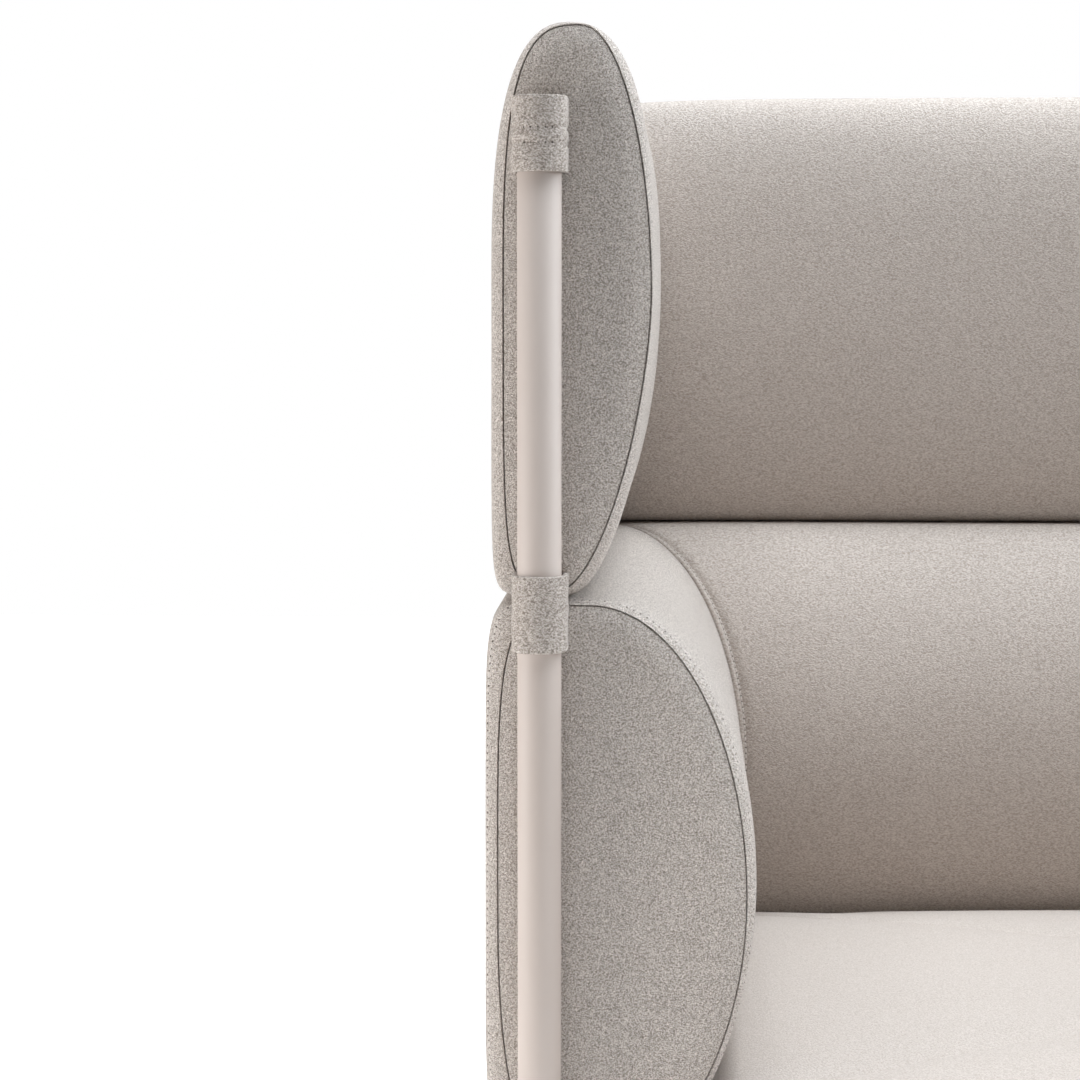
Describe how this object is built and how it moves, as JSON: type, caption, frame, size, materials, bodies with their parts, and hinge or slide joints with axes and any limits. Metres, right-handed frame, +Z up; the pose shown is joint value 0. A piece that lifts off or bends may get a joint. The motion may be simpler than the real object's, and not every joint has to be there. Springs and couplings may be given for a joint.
{
  "type": "sofa",
  "caption": "High-backed upholstered sofa: stacked felt-covered arm and back panels held by felt pockets and loops to a round tube frame, with a fitted seat cushion.",
  "frame": {"origin": "on the floor, under the middle of the sofa", "axes": "+X along the sofa to the viewer's right, +Y from its front to its back, +Z up"},
  "size_m": [1.4778, 0.8054, 1.1673],
  "materials": {
    "wool_felt": "fulled wool felt, warm light grey melange, matt with a soft nap",
    "foam": "open-cell upholstery foam",
    "powder_coat": "satin powder coat, warm pale grey, on steel tube",
    "plywood": "sanded birch plywood",
    "nylon": "moulded nylon, dark grey",
    "zinc_steel": "zinc-plated steel"
  },
  "bodies": {
    "sofa": {"arm_lower_left_core": "plywood", "arm_lower_left_cover": "wool_felt", "arm_lower_left_end_panel": "wool_felt", "arm_lower_left_foam": "foam", "arm_lower_right_core": "plywood", "arm_lower_right_cover": "wool_felt", "arm_lower_right_end_panel": "wool_felt", "arm_lower_right_foam": "foam", "arm_upper_left_core": "plywood", "arm_upper_left_cover": "wool_felt", "arm_upper_left_end_panel": "wool_felt", "arm_upper_left_foam": "foam", "arm_upper_right_core": "plywood", "arm_upper_right_cover": "wool_felt", "arm_upper_right_end_panel": "wool_felt", "arm_upper_right_foam": "foam", "back_lower_core": "plywood", "back_lower_cover": "wool_felt", "back_lower_foam": "foam", "back_upper_core": "plywood", "back_upper_cover": "wool_felt", "back_upper_foam": "foam", "bearer_bolt_front_left": "zinc_steel", "bearer_bolt_front_right": "zinc_steel", "bearer_bolt_rear_left": "zinc_steel", "bearer_bolt_rear_right": "zinc_steel", "corner_bracket_lower_left": "zinc_steel", "corner_bracket_lower_right": "zinc_steel", "corner_bracket_upper_left": "zinc_steel", "corner_bracket_upper_right": "zinc_steel", "foot_plug_front_left": "nylon", "foot_plug_front_right": "nylon", "foot_plug_rear_left": "nylon", "foot_plug_rear_right": "nylon", "post_front_left": "powder_coat", "post_front_right": "powder_coat", "post_loop_front_left": "wool_felt", "post_loop_front_right": "wool_felt", "post_loop_rear_left": "wool_felt", "post_loop_rear_right": "wool_felt", "post_pocket_front_left": "wool_felt", "post_pocket_front_right": "wool_felt", "post_pocket_rear_left": "wool_felt", "post_pocket_rear_right": "wool_felt", "post_rear_left": "powder_coat", "post_rear_right": "powder_coat", "rear_rail": "powder_coat", "seat_bearer_front": "powder_coat", "seat_bearer_rear": "powder_coat", "seat_board": "plywood", "seat_cover": "wool_felt", "seat_foam": "foam", "side_rail_left": "powder_coat", "side_rail_right": "powder_coat"},
    "glide_front_left": {"levelling_glide_front_left": "nylon"},
    "glide_front_right": {"levelling_glide_front_right": "nylon"},
    "glide_rear_left": {"levelling_glide_rear_left": "nylon"},
    "glide_rear_right": {"levelling_glide_rear_right": "nylon"}
  },
  "joints": [
    {"name": "level_front_left", "type": "slide", "parent": "sofa", "child": "glide_front_left", "axis": [0, 0, -1], "range_m": [0, 0.012]},
    {"name": "level_front_right", "type": "slide", "parent": "sofa", "child": "glide_front_right", "axis": [0, 0, -1], "range_m": [0, 0.012]},
    {"name": "level_rear_left", "type": "slide", "parent": "sofa", "child": "glide_rear_left", "axis": [0, 0, -1], "range_m": [0, 0.012]},
    {"name": "level_rear_right", "type": "slide", "parent": "sofa", "child": "glide_rear_right", "axis": [0, 0, -1], "range_m": [0, 0.012]}
  ]
}
